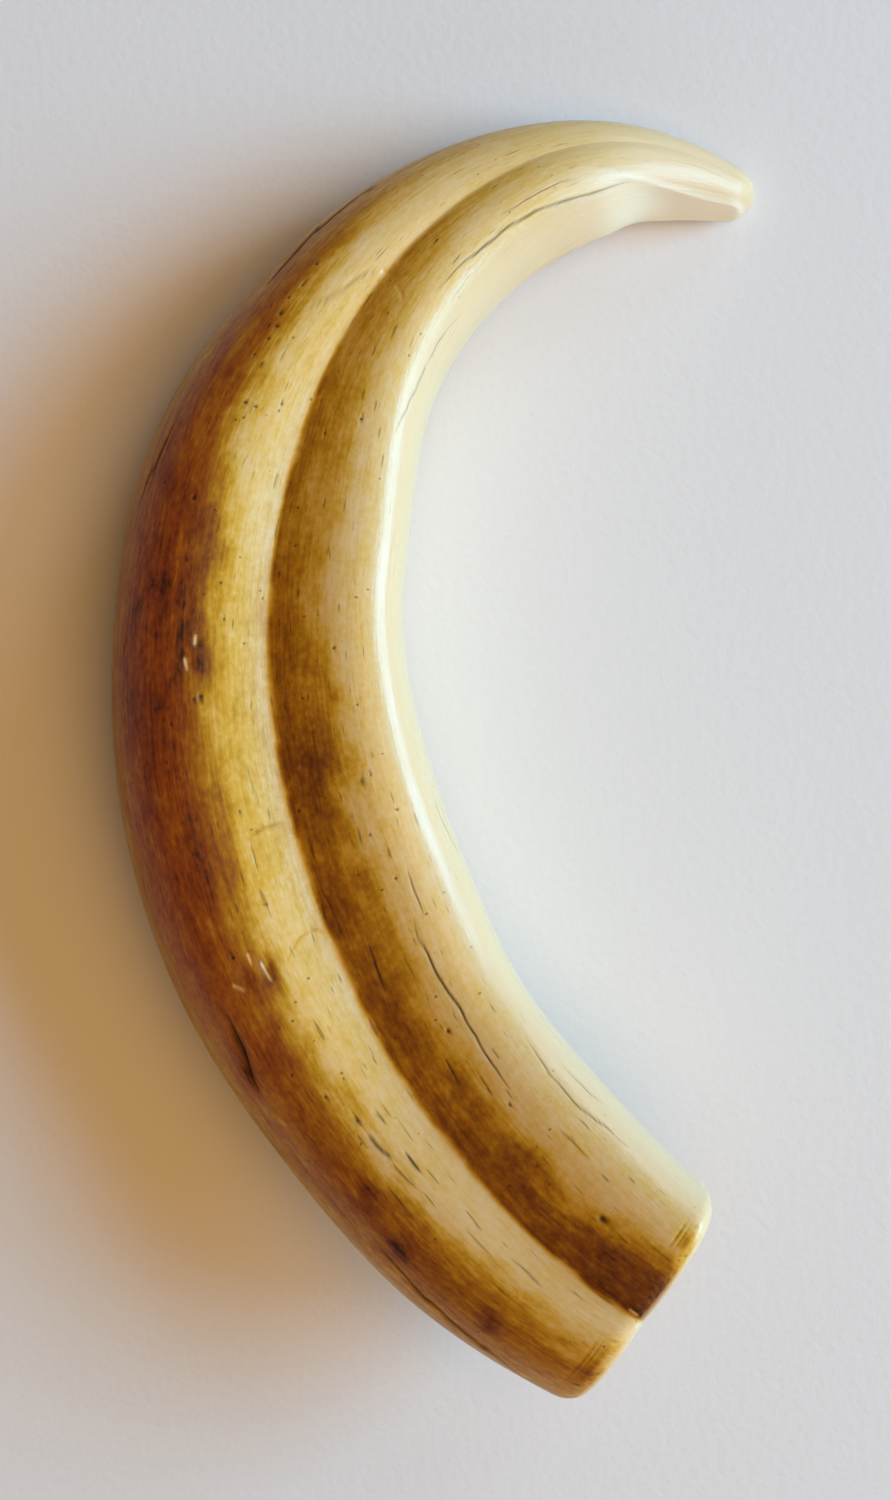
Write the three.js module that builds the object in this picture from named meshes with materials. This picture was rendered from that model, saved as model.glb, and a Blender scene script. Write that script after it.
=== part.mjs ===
// A boar's tusk lying on its side: one curved tooth with two rounded lobes and a furrow
// between them, a flat worn facet inside the tip, and a cut root that opens into the pulp
// cavity. Millimetres, +Z up. The tusk lies in the XY plane with the tip and the root
// towards +X, and the origin is under the middle of its box. It rests on its lobes and on
// its tip, and its root stands clear of the surface.
//
// The tusk is first a straight blank of revolution, a LatheGeometry one unit in radius,
// and each of its points is then carried to its place on the curved, lobed tusk.

import * as THREE from 'three';
import { mergeVertices } from 'three/addons/utils/BufferGeometryUtils.js';

// Growth line: the middle of the tusk, from the cut root to the tip. Its heading turns
// most at the root and again towards the tip, where the curve tightens as a spiral does.
const TUSK_LENGTH = 247.4;
const ROOT_X = 31.44;
const ROOT_Y = -84.25;
const ROOT_HEADING = 151.1; // degrees from +X
const ROOT_TURN = 137.1; // degrees over the whole length
const MIDDLE_EASE = 88.7; // degrees less, with the square of the distance
const TIP_TURN = 126.6; // degrees more, with its cube
const LINE_STEPS = 496; // about half a millimetre each

// Sections at every tenth of the length, from the root to the tip.
const HALF_WIDTH = [19.1, 22.3, 23.3, 24.9, 24.5, 22.8, 21.3, 16.6, 12.9, 8.8, 3.6];
const HALF_HEIGHT = [17.2, 18.2, 18.9, 19.4, 19.4, 18.8, 17.4, 15.0, 12.2, 9.0, 3.8];
const ROLL = [0, 0, 0, 0, 0, 0, 0, 4, 14, 30, 38]; // degrees, furrow turning outwards
const FURROW_PLACE = [-0.1, -0.04, 0.01, 0.06, 0.09, 0.1, 0.09, 0.06, 0.03, 0, 0];
const FURROW_DEPTH = [6.2, 7.0, 7.8, 8.0, 8.0, 7.6, 6.8, 5.0, 3.0, 1.2, 0.3];
const UNDER_FURROW_DEPTH = [2.8, 3.0, 3.2, 3.4, 3.4, 3.2, 2.8, 2.0, 1.0, 0.4, 0.1];
const LIFT = [17, 8.8, 2.4, 0, 0, 0, 0, 0.5, 1.0, 0.8, 0]; // underside above the surface

// Shape of a section. 2 is an ellipse and more is squarer: seen from above, the outer lobe
// is an ellipse and the inner one is squarer, up to where the tusk thins. The furrow's place
// above and its widths here are shares of the half width, towards the inside of the curve.
const OUTER_SQUARENESS = 2;
const UNDER_SQUARENESS = 2.5;
const INNER_SQUARENESS = [3.8, 4.2, 4.5, 4.5, 4.5, 4.5, 4.2, 3.4, 2.6, 2.2, 2];
const FURROW_OUTER_WIDTH = 0.6;
const FURROW_INNER_WIDTH = 0.5;
const FURROW_POINT = 1.05; // 1 is a sharp V, 2 a soft trough
const UNDER_FURROW_WIDTH = 0.42;

// The cut root, the pulp cavity behind it and the blunt tip.
const CUT_SKEW = -5.2; // degrees that the cut is off square
const SKEW_REACH = 40; // the skew has faded out this far along
const RIM_ROUND = 3.2; // radius of the worn edge round the cut
const CAVITY_DEPTH = 36;
const CAVITY_MOUTH = 0.7; // share of the section that is open at the cut
const CAVITY_BULGE = 0.8; // 1 is a straight cone
const TIP_DOME = 3.6; // length of the rounded end

// The facet that rubbing has worn flat on the inside of the tip: a point on it, the
// direction in which it runs and how far it looks upwards. It fades in over a stretch.
const FACET_POINT = new THREE.Vector3(41.5, 85.1, 7);
const FACET_HEADING = 3; // degrees from +X
const FACET_TILT = 20; // degrees
const FACET_START = 0.89;
const FACET_FULL = 0.95;

const REST_FLAT = 0.35; // depth of the flats on which the tusk rests

// Mesh.
const SIDES = 52;
const OUTER_RINGS = 64;
const CAVITY_RINGS = 7;
const ROUND_RINGS = 4; // along the rim's rounding and along the tip's dome

const radians = THREE.MathUtils.degToRad;

// A value between stations that are evenly spaced from the root to the tip: a smooth
// curve through all of them.
function alongStations(values, share) {
  const last = values.length - 1;
  const place = THREE.MathUtils.clamp(share, 0, 1) * last;
  const i = Math.min(Math.floor(place), last - 1);
  const t = place - i;
  const b = values[i];
  const c = values[i + 1];
  const a = i > 0 ? values[i - 1] : 2 * b - c;
  const d = i + 2 <= last ? values[i + 2] : 2 * c - b;
  return b + 0.5 * t * (c - a + t * (2 * a - 5 * b + 4 * c - d + t * (3 * (b - c) + d - a)));
}

function headingAt(share) {
  const turned = ROOT_TURN * share - MIDDLE_EASE * share ** 2 + TIP_TURN * share ** 3;
  return radians(ROOT_HEADING - turned);
}

// The growth line as evenly spaced points, added up from its heading.
const growthLine = [new THREE.Vector2(ROOT_X, ROOT_Y)];
for (let i = 0; i < LINE_STEPS; i += 1) {
  const heading = headingAt((i + 0.5) / LINE_STEPS);
  const step = TUSK_LENGTH / LINE_STEPS;
  const next = new THREE.Vector2(Math.cos(heading), Math.sin(heading)).multiplyScalar(step);
  growthLine.push(next.add(growthLine[i]));
}

function linePoint(share) {
  const place = THREE.MathUtils.clamp(share, 0, 1) * LINE_STEPS;
  const i = Math.min(Math.floor(place), LINE_STEPS - 1);
  return growthLine[i].clone().lerp(growthLine[i + 1], place - i);
}

// Share of a furrow's depth at a distance from its bottom line.
function furrow(distance, outerWidth, innerWidth, point) {
  const width = distance < 0 ? outerWidth : innerWidth;
  return Math.exp(-(Math.abs(distance / width) ** point));
}

function squareness(share, side, above) {
  if (!above) {
    return UNDER_SQUARENESS;
  }
  return side > 0 ? alongStations(INNER_SQUARENESS, share) : OUTER_SQUARENESS;
}

// A point of the section at an angle, 0 towards the inside of the curve and 90 degrees
// in the furrow: x is across the tusk and y is up, both from the growth line.
function sectionPoint(share, angle) {
  const c = Math.cos(angle);
  const s = Math.sin(angle);
  const n = squareness(share, c, s > 0);
  const even = c * (Math.abs(c) ** n + Math.abs(s) ** n) ** (-1 / n);
  const place = s > 0 ? alongStations(FURROW_PLACE, share) : 0;
  const across = even + place * (1 - even ** 2);
  const m = squareness(share, across, s > 0);
  const up = Math.sign(s) * Math.max(0, 1 - Math.abs(across) ** m) ** (1 / m);
  const top = furrow(across - place, FURROW_OUTER_WIDTH, FURROW_INNER_WIDTH, FURROW_POINT);
  const under = furrow(across, UNDER_FURROW_WIDTH, UNDER_FURROW_WIDTH, 2);
  const dip = up > 0
    ? -top * alongStations(FURROW_DEPTH, share) * Math.min(1, up * 2)
    : under * alongStations(UNDER_FURROW_DEPTH, share) * Math.min(1, -up * 2);
  const point = new THREE.Vector2(
    across * alongStations(HALF_WIDTH, share),
    up * alongStations(HALF_HEIGHT, share) + dip,
  );
  return point.rotateAround(new THREE.Vector2(), radians(alongStations(ROLL, share)));
}

// How far the section reaches below the growth line.
function depthBelowLine(share) {
  let lowest = 0;
  for (let side = 0; side < SIDES; side += 1) {
    lowest = Math.min(lowest, sectionPoint(share, (side / SIDES) * 2 * Math.PI).y);
  }
  return -lowest;
}

const facetNormal = new THREE.Vector3(
  Math.sin(radians(FACET_HEADING)) * Math.cos(radians(FACET_TILT)),
  -Math.cos(radians(FACET_HEADING)) * Math.cos(radians(FACET_TILT)),
  Math.sin(radians(FACET_TILT)),
);

// Rubs the inside of the tip down to the plane of the facet.
function rubFacet(point, share) {
  const beyond = point.clone().sub(FACET_POINT).dot(facetNormal);
  const amount = THREE.MathUtils.smoothstep(share, FACET_START, FACET_FULL);
  point.addScaledVector(facetNormal, -Math.max(0, beyond) * amount);
}

// Carries a point of the straight blank, radius and angle round it and distance along
// it, to its place on the tusk.
function onTusk(radius, angle, along) {
  const share = along / TUSK_LENGTH;
  const section = sectionPoint(share, angle).multiplyScalar(radius);
  const heading = headingAt(share);
  const line = linePoint(share);
  const height = alongStations(LIFT, share) + depthBelowLine(share) - REST_FLAT;
  const skew = Math.tan(radians(CUT_SKEW)) * Math.max(0, 1 - along / SKEW_REACH);
  const point = new THREE.Vector3(
    line.x + section.x * (Math.sin(heading) + skew * Math.cos(heading)),
    line.y + section.x * (skew * Math.sin(heading) - Math.cos(heading)),
    height + section.y,
  );
  rubFacet(point, share);
  point.z = Math.max(point.z, 0);
  return point;
}

// Half of the blank's long section, from the end of the cavity, out over the rim and
// along the outside to the tip. x is the share of the radius, y the distance along.
function blankProfile() {
  const profile = [];
  for (let i = 0; i <= CAVITY_RINGS; i += 1) {
    const t = i / CAVITY_RINGS;
    profile.push(new THREE.Vector2(CAVITY_MOUTH * t ** CAVITY_BULGE, CAVITY_DEPTH * (1 - t)));
  }
  const rimShare = RIM_ROUND / HALF_WIDTH[0];
  for (let i = 0; i <= ROUND_RINGS; i += 1) {
    const turn = (i / ROUND_RINGS) * 0.5 * Math.PI;
    const share = 1 - rimShare * (1 - Math.sin(turn));
    profile.push(new THREE.Vector2(share, RIM_ROUND * (1 - Math.cos(turn))));
  }
  const domeStart = TUSK_LENGTH - TIP_DOME;
  for (let i = 1; i <= OUTER_RINGS; i += 1) {
    profile.push(new THREE.Vector2(1, THREE.MathUtils.lerp(RIM_ROUND, domeStart, i / OUTER_RINGS)));
  }
  for (let i = 1; i <= ROUND_RINGS; i += 1) {
    const turn = (i / ROUND_RINGS) * 0.5 * Math.PI;
    profile.push(new THREE.Vector2(Math.cos(turn), domeStart + TIP_DOME * Math.sin(turn)));
  }
  return profile;
}

// The tusk's geometry: the blank with its points carried over, its seam and its two
// poles merged, and the faces that vanished at the poles left out.
function tuskGeometry() {
  const blank = new THREE.LatheGeometry(blankProfile(), SIDES);
  blank.deleteAttribute('normal');
  blank.deleteAttribute('uv');
  const position = blank.getAttribute('position');
  for (let i = 0; i < position.count; i += 1) {
    const x = position.getX(i);
    const z = position.getZ(i);
    const radius = Math.hypot(x, z) < 1e-6 ? 0 : Math.hypot(x, z);
    const point = onTusk(radius, Math.atan2(z, x), position.getY(i));
    position.setXYZ(i, point.x, point.y, point.z);
  }
  const geometry = mergeVertices(blank, 1e-4);
  const faces = [];
  for (let i = 0; i < geometry.index.count; i += 3) {
    const [a, b, c] = geometry.index.array.slice(i, i + 3);
    if (a !== b && b !== c && c !== a) {
      faces.push(a, b, c);
    }
  }
  geometry.setIndex(faces);
  geometry.computeVertexNormals();
  return geometry;
}

const ivory = new THREE.MeshStandardMaterial({
  color: 0xd8b56a,
  roughness: 0.35,
  metalness: 0,
});

const tusk = new THREE.Mesh(tuskGeometry(), ivory);
tusk.name = 'tusk';

const boarTusk = new THREE.Group();
boarTusk.add(tusk);

export default boarTusk;
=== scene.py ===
# %% [markdown]
# A boar's tusk on a pale surface
#
# The real object is one tooth. It grew in a curve from its root, it has two rounded lobes
# with a furrow between them, it was sawn off at the root and then polished, and age has
# stained it from cream to honey and brown. There is nothing to assemble here, so this lesson
# is about one surface: how to shape it, how to cut the cracks of age into it, and how to give
# it the colours of old ivory.

# %% Load the frame
import math

import bmesh
import bpy
import numpy as np
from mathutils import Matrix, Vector, noise


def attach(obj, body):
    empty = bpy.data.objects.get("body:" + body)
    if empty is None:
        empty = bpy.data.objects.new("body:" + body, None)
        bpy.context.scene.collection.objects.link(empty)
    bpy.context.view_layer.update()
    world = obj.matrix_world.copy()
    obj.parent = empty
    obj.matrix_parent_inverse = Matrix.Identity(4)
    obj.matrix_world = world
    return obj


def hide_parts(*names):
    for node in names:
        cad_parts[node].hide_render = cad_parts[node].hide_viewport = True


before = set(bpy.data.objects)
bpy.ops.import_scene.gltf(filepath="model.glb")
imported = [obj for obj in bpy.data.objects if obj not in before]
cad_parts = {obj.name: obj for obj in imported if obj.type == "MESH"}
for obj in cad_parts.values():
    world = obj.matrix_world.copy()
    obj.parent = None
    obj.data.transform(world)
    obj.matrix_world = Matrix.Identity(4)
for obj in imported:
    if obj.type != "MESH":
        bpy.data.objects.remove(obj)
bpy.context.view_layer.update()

CAD_NODE = "tusk"

# %% [markdown]
# The camera comes first, because the cracks and stains further down are placed where the
# photograph shows them. It looks straight down, so a place in the picture and a place on the
# tusk are joined by one short formula. A longer lens would flatten the tusk more, and a wide
# one would show more of its flanks; this one was worked out from how much they show.

# %% Camera above the tusk
PICTURE_WIDTH = 891
PICTURE_HEIGHT = 1500
MM = 0.001
CAMERA_X = 1.22
CAMERA_Y = -1.29
CAMERA_HEIGHT = 430.0
SENSOR = 36.0
LENS = 63.3
FOCAL_PIXELS = LENS / SENSOR * PICTURE_HEIGHT
MIDDLE_HEIGHT = 17.0
PIXEL_MM = (CAMERA_HEIGHT - MIDDLE_HEIGHT) / FOCAL_PIXELS


def make_camera():
    data = bpy.data.cameras.new("camera")
    data.sensor_width = SENSOR
    data.lens = LENS
    camera = bpy.data.objects.new("camera", data)
    camera.location = (CAMERA_X * MM, CAMERA_Y * MM, CAMERA_HEIGHT * MM)
    bpy.context.scene.collection.objects.link(camera)
    bpy.context.scene.camera = camera


def in_picture(points):
    """Where points in mm fall in the picture, in its own pixels."""
    depth = CAMERA_HEIGHT - points[:, 2]
    right = PICTURE_WIDTH / 2 + FOCAL_PIXELS * (points[:, 0] - CAMERA_X) / depth
    down = PICTURE_HEIGHT / 2 - FOCAL_PIXELS * (points[:, 1] - CAMERA_Y) / depth
    return np.stack([right, down], axis=1)


make_camera()
print("one pixel of the picture is", round(PIXEL_MM, 4), "mm on the tusk")

# %% [markdown]
# A tusk is a cone that curls as it grows. Its middle is a growth line whose heading turns
# most at the root and again near the tip, and its section changes slowly along that line. So
# the whole form can be said with a few numbers at every tenth of its length. A sculpted mesh
# would also do, but then its furrow and its fibres couldn't be followed by a formula later.
# These are the same values as in the frame's own solid, so the two have one shape.

# %% Growth line
TUSK_LENGTH = 247.4
ROOT_X = 31.44
ROOT_Y = -84.25
ROOT_HEADING = 151.1
ROOT_TURN = 137.1
MIDDLE_EASE = 88.7
TIP_TURN = 126.6
LINE_STEPS = 496


def along_stations(values, share):
    """A smooth curve through values that are evenly spaced from the root to the tip."""
    first = 2 * values[0] - values[1]
    end = 2 * values[-1] - values[-2]
    stations = np.array([first, *values, end], float)
    place = np.clip(share, 0, 1) * (len(values) - 1)
    i = np.minimum(np.floor(place).astype(int), len(values) - 2)
    t = place - i
    a, b, c, d = (stations[i + k] for k in range(4))
    return b + 0.5 * t * (c - a + t * (2 * a - 5 * b + 4 * c - d + t * (3 * (b - c) + d - a)))


def heading_at(share):
    turned = ROOT_TURN * share - MIDDLE_EASE * share**2 + TIP_TURN * share**3
    return np.radians(ROOT_HEADING - turned)


def growth_line():
    """The growth line's points, added up from its heading in small even steps."""
    headings = heading_at((np.arange(LINE_STEPS) + 0.5) / LINE_STEPS)
    step = TUSK_LENGTH / LINE_STEPS
    x = ROOT_X + np.concatenate([[0], np.cumsum(np.cos(headings) * step)])
    y = ROOT_Y + np.concatenate([[0], np.cumsum(np.sin(headings) * step)])
    return x, y


line_x, line_y = growth_line()
line_share = np.linspace(0, 1, LINE_STEPS + 1)
print("the growth line ends at", round(line_x[-1], 1), round(line_y[-1], 1), "mm")

# %% [markdown]
# The section has two lobes. The outer one is round, as half of an ellipse is, and the inner
# one is squarer, so its flank is steep. The furrow between them is a V with a soft bottom. An
# angle goes round the section, 0 towards the inside of the curve and 90 degrees in the furrow,
# and the V moves with the angle, so one line of the mesh runs in its bottom.

# %% Section with two lobes
HALF_WIDTH = [19.1, 22.3, 23.3, 24.9, 24.5, 22.8, 21.3, 16.6, 12.9, 8.8, 3.6]
HALF_HEIGHT = [17.2, 18.2, 18.9, 19.4, 19.4, 18.8, 17.4, 15.0, 12.2, 9.0, 3.8]
ROLL = [0, 0, 0, 0, 0, 0, 0, 4, 14, 30, 38]
FURROW_PLACE = [-0.1, -0.04, 0.01, 0.06, 0.09, 0.1, 0.09, 0.06, 0.03, 0, 0]
FURROW_DEPTH = [6.2, 7.0, 7.8, 8.0, 8.0, 7.6, 6.8, 5.0, 3.0, 1.2, 0.3]
UNDER_FURROW_DEPTH = [2.8, 3.0, 3.2, 3.4, 3.4, 3.2, 2.8, 2.0, 1.0, 0.4, 0.1]
LIFT = [17, 8.8, 2.4, 0, 0, 0, 0, 0.5, 1.0, 0.8, 0]
OUTER_SQUARENESS = 2
UNDER_SQUARENESS = 2.5
INNER_SQUARENESS = [3.8, 4.2, 4.5, 4.5, 4.5, 4.5, 4.2, 3.4, 2.6, 2.2, 2]
FURROW_OUTER_WIDTH = 0.6
FURROW_INNER_WIDTH = 0.5
FURROW_POINT = 1.05
UNDER_FURROW_WIDTH = 0.42
CAD_SIDES = 52


def furrow(distance, outer_width, inner_width, point):
    width = np.where(distance < 0, outer_width, inner_width)
    return np.exp(-(np.abs(distance / width) ** point))


def squareness(share, side, above):
    seen_from_above = np.where(side > 0, along_stations(INNER_SQUARENESS, share), OUTER_SQUARENESS)
    return np.where(above, seen_from_above, UNDER_SQUARENESS)


def across_at(share, angle):
    """How far across the section an angle is, -1 outside the curve and 1 inside it."""
    c = np.cos(angle)
    s = np.sin(angle)
    n = squareness(share, c, s > 0)
    even = c * (np.abs(c) ** n + np.abs(s) ** n) ** (-1 / n)
    place = np.where(s > 0, along_stations(FURROW_PLACE, share), 0)
    return even + place * (1 - even**2), place


def section_point(share, angle):
    across, place = across_at(share, angle)
    side = np.sign(np.sin(angle))
    n = squareness(share, across, side > 0)
    up = side * np.clip(1 - np.abs(across) ** n, 0, 1) ** (1 / n)
    top = furrow(across - place, FURROW_OUTER_WIDTH, FURROW_INNER_WIDTH, FURROW_POINT)
    under = furrow(across, UNDER_FURROW_WIDTH, UNDER_FURROW_WIDTH, 2)
    dip_above = -top * along_stations(FURROW_DEPTH, share) * np.minimum(1, up * 2)
    dip_below = under * along_stations(UNDER_FURROW_DEPTH, share) * np.minimum(1, -up * 2)
    x = across * along_stations(HALF_WIDTH, share)
    y = up * along_stations(HALF_HEIGHT, share) + np.where(up > 0, dip_above, dip_below)
    roll = np.radians(along_stations(ROLL, share))
    return x * np.cos(roll) - y * np.sin(roll), x * np.sin(roll) + y * np.cos(roll)


def depth_table():
    """How far the section reaches below the growth line, at each point of the line."""
    angles = np.arange(CAD_SIDES) / CAD_SIDES * 2 * math.pi
    share, angle = np.meshgrid(line_share, angles, indexing="ij")
    return -section_point(share, angle)[1].min(axis=1)


depth_below_line = depth_table()
print("the growth line runs", round(depth_below_line[0], 1), "mm above the lowest point at the root")

# %% [markdown]
# Two places aren't part of that even growth. The root was sawn off a little askew, and the
# inside of the tip is rubbed flat, where the tooth met another one in life. The tusk lies on
# narrow flats under its two lobes and on its tip, and its root stands clear. All this is one
# function, which carries any point of a straight round bar, the blank, to its place.

# %% From the straight blank to the tusk
CUT_SKEW = -5.2
SKEW_REACH = 40
FACET_POINT = np.array([41.5, 85.1, 7])
FACET_HEADING = math.radians(3)
FACET_TILT = math.radians(20)
FACET_START = 0.89
FACET_FULL = 0.95
REST_FLAT = 0.35
BLANK_RADIUS = 20.0

facet_normal = np.array([
    math.sin(FACET_HEADING) * math.cos(FACET_TILT),
    -math.cos(FACET_HEADING) * math.cos(FACET_TILT),
    math.sin(FACET_TILT),
])


def smoothstep(value, low, high):
    t = np.clip((value - low) / (high - low), 0, 1)
    return t * t * (3 - 2 * t)


def rub_facet(points, share):
    beyond = np.maximum(0, (points - FACET_POINT) @ facet_normal)
    amount = smoothstep(share, FACET_START, FACET_FULL)
    return points - facet_normal * (beyond * amount)[:, None]


def on_tusk(radius, angle, along):
    """The places on the tusk, in mm, of points on the blank."""
    share = along / TUSK_LENGTH
    section_x, section_y = section_point(share, angle)
    section_x = section_x * radius / BLANK_RADIUS
    section_y = section_y * radius / BLANK_RADIUS
    heading = heading_at(share)
    skew = math.tan(math.radians(CUT_SKEW)) * np.maximum(0, 1 - along / SKEW_REACH)
    depth = np.interp(share, line_share, depth_below_line)
    height = along_stations(LIFT, share) + depth - REST_FLAT
    x = np.interp(share, line_share, line_x)
    y = np.interp(share, line_share, line_y)
    x = x + section_x * (np.sin(heading) + skew * np.cos(heading))
    y = y + section_x * (skew * np.sin(heading) - np.cos(heading))
    points = rub_facet(np.stack([x, y, height + section_y], axis=1), share)
    points[:, 2] = np.maximum(points[:, 2], 0)
    return points


cut_edge = on_tusk(np.array([BLANK_RADIUS]), np.array([0.0]), np.array([0.0]))[0]
print("the inner edge of the cut is at", cut_edge.round(1), "mm")

# %% [markdown]
# The blank is a straight bar with a rounded rim, a cone-shaped pulp cavity in its root end
# and a dome for a tip. It starts as six vertices joined in a line: half of its long section.
# The subdivide operator gives each stretch the rings that it needs, a short formula bends
# three of them into a cavity, a rim and a dome, and the spin operator turns the line into a
# closed skin. The rings are close together near the rim, where the saw left fine lines.

# %% Blank of revolution
RIM_ROUND = 3.2
CAVITY_DEPTH = 36.0
CAVITY_MOUTH = 0.7 * BLANK_RADIUS
CAVITY_BULGE = 0.8
TIP_DOME = 3.6
DOME_START = TUSK_LENGTH - TIP_DOME
SAWN_BAND = 9.0
SIDES = 300
RING_CUTS = {"cavity": 15, "cut": 3, "rim": 6, "sawn": 21, "wall": 222, "dome": 7}


def joined_line(bm, places):
    vertices = [bm.verts.new((x, y, 0)) for x, y in places]
    return [bm.edges.new(pair) for pair in zip(vertices, vertices[1:])]


def bend_ends(bm):
    """Bends the straight stretches of the line into the cavity, the rim and the dome."""
    for vertex in bm.verts:
        x, y, _ = vertex.co
        if x < CAVITY_MOUTH and y <= CAVITY_DEPTH:
            vertex.co.x = CAVITY_MOUTH * (1 - y / CAVITY_DEPTH) ** CAVITY_BULGE
        elif y > DOME_START:
            turn = (y - DOME_START) / TIP_DOME * math.pi / 2
            vertex.co.x = BLANK_RADIUS * math.cos(turn)
            vertex.co.y = DOME_START + TIP_DOME * math.sin(turn)
        elif y < RIM_ROUND and x > BLANK_RADIUS - RIM_ROUND:
            turn = y / RIM_ROUND * math.pi / 2
            vertex.co.x = BLANK_RADIUS - RIM_ROUND * (1 - math.sin(turn))
            vertex.co.y = RIM_ROUND * (1 - math.cos(turn))


def make_blank():
    bm = bmesh.new()
    corners = [
        (0, CAVITY_DEPTH),
        (CAVITY_MOUTH, 0),
        (BLANK_RADIUS - RIM_ROUND, 0),
        (BLANK_RADIUS, RIM_ROUND),
        (BLANK_RADIUS, SAWN_BAND),
        (BLANK_RADIUS, DOME_START),
        (0, TUSK_LENGTH),
    ]
    for edge, cuts in zip(joined_line(bm, corners), RING_CUTS.values()):
        bmesh.ops.subdivide_edges(bm, edges=[edge], cuts=cuts)
    bend_ends(bm)
    line = bm.verts[:] + bm.edges[:]
    bmesh.ops.spin(
        bm, geom=line, cent=(0, 0, 0), axis=(0, 1, 0), angle=2 * math.pi, steps=SIDES, use_merge=True
    )
    bmesh.ops.remove_doubles(bm, verts=bm.verts, dist=1e-4)
    return bm


bm = make_blank()
print("the blank has", len(bm.verts), "vertices and", len(bm.faces), "faces")

# %% [markdown]
# The upper side of the tusk faces the camera and carries the furrow, so it gets more of the
# blank's lines than the underside. This is done by the angle at which a line ends up, and
# not by a second mesh, so the skin stays in one piece.

# %% Where the blank's vertices go
UPPER_DENSITY = 0.3


def blank_places(bm):
    """Each vertex's place on the blank: radius, angle and distance along, and the place itself."""
    co = np.array([vertex.co[:] for vertex in bm.verts])
    radius = np.hypot(co[:, 0], co[:, 2])
    turn = np.arctan2(co[:, 2], co[:, 0])
    angle = turn + UPPER_DENSITY * np.cos(turn)
    along = co[:, 1]
    outside = (along > RIM_ROUND) & (along < DOME_START) & (radius > 0.99 * BLANK_RADIUS)
    radius = np.where(outside, BLANK_RADIUS, radius)
    around = np.stack([radius * np.cos(angle), along, radius * np.sin(angle)], axis=1)
    return radius, angle, along, around


radius, angle, along, around = blank_places(bm)
print("lines on the upper side:", int((np.sin(angle[along > TUSK_LENGTH / 2]) > 0).mean() * SIDES))

# %% [markdown]
# Age has opened the ivory along its fibres. Each crack is a line of a few points, read off
# the photograph in its own pixels, with a width and a depth in millimetres and a share of
# dirt that tells how dark it is. Real cracks could be torn open by a simulation, but they
# would open somewhere else.

# %% Cracks
CRACKS = {
    # name: (width, depth, dirt, points)
    "above_the_bend": (0.34, 0.30, 0.62, [
        (436, 290), (459, 266), (489, 243), (510, 226), (533, 212), (552, 205), (585, 196), (628, 181)]),
    "beside_it": (0.26, 0.18, 0.34, [(501, 214), (529, 197), (556, 183), (580, 177)]),
    "inner_lobe": (0.22, 0.20, 0.62, [
        (462, 314), (449, 329), (440, 341), (426, 367), (413, 397), (396, 431)]),
    "outer_edge_high": (0.55, 0.45, 0.85, [
        (266, 285), (280, 268), (293, 254), (320, 225), (348, 203), (379, 183)]),
    "outer_edge_middle": (0.4, 0.35, 0.6, [(139, 500), (148, 476), (162, 447), (176, 420)]),
    "outer_edge_dash": (0.4, 0.3, 0.5, [(122, 655), (123, 646), (128, 630)]),
    "long_crack_start": (0.26, 0.20, 0.5, [(407, 872), (413, 888), (419, 902), (422, 915)]),
    "long_crack": (0.34, 0.34, 0.85, [
        (414, 919), (418, 938), (429, 960), (442, 984), (460, 1010), (469, 1028), (482, 1050),
        (497, 1072), (509, 1090)]),
    "long_crack_fork": (0.3, 0.3, 0.7, [(478, 1074), (485, 1086), (492, 1098)]),
    "by_the_highlight": (0.26, 0.22, 0.6, [
        (528, 1041), (536, 1053), (549, 1074), (565, 1093), (581, 1109), (608, 1128), (627, 1146)]),
    "near_the_inner_edge": (0.2, 0.16, 0.45, [(560, 1062), (575, 1078), (590, 1092), (604, 1103)]),
    "inner_edge_thin": (0.24, 0.2, 0.55, [(436, 800), (441, 815), (447, 828), (453, 841), (460, 854)]),
    "furrow_flank": (0.36, 0.34, 0.85, [(365, 941), (371, 952), (376, 968), (384, 992)]),
    "furrow_flank_high": (0.3, 0.25, 0.6, [(320, 905), (322, 912), (325, 921)]),
    "furrow_flank_beside": (0.3, 0.25, 0.6, [(337, 925), (340, 932), (343, 941)]),
    "furrow_flank_low": (0.3, 0.28, 0.7, [(445, 1058), (450, 1068), (459, 1087)]),
    "furrow_flank_hairline": (0.22, 0.16, 0.45, [(400, 952), (408, 966), (416, 984)]),
    "inner_lobe_low": (0.22, 0.18, 0.5, [(559, 1129), (573, 1143), (590, 1161)]),
    "outer_lobe_wrinkle": (0.5, 0.18, 0.26, [
        (306, 308), (318, 301), (331, 296), (344, 287), (357, 278), (378, 270)]),
    "outer_lobe_hairline": (0.24, 0.2, 0.4, [(243, 757), (247, 770), (252, 785), (257, 800)]),
    "outer_lobe_line": (0.26, 0.2, 0.35, [(250, 836), (252, 850), (256, 862), (261, 876)]),
    "low_outer_edge": (0.5, 0.35, 0.7, [
        (370, 1234), (384, 1253), (399, 1270), (421, 1296), (450, 1322), (487, 1351), (522, 1378)]),
}
print(len(CRACKS), "cracks")
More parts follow.
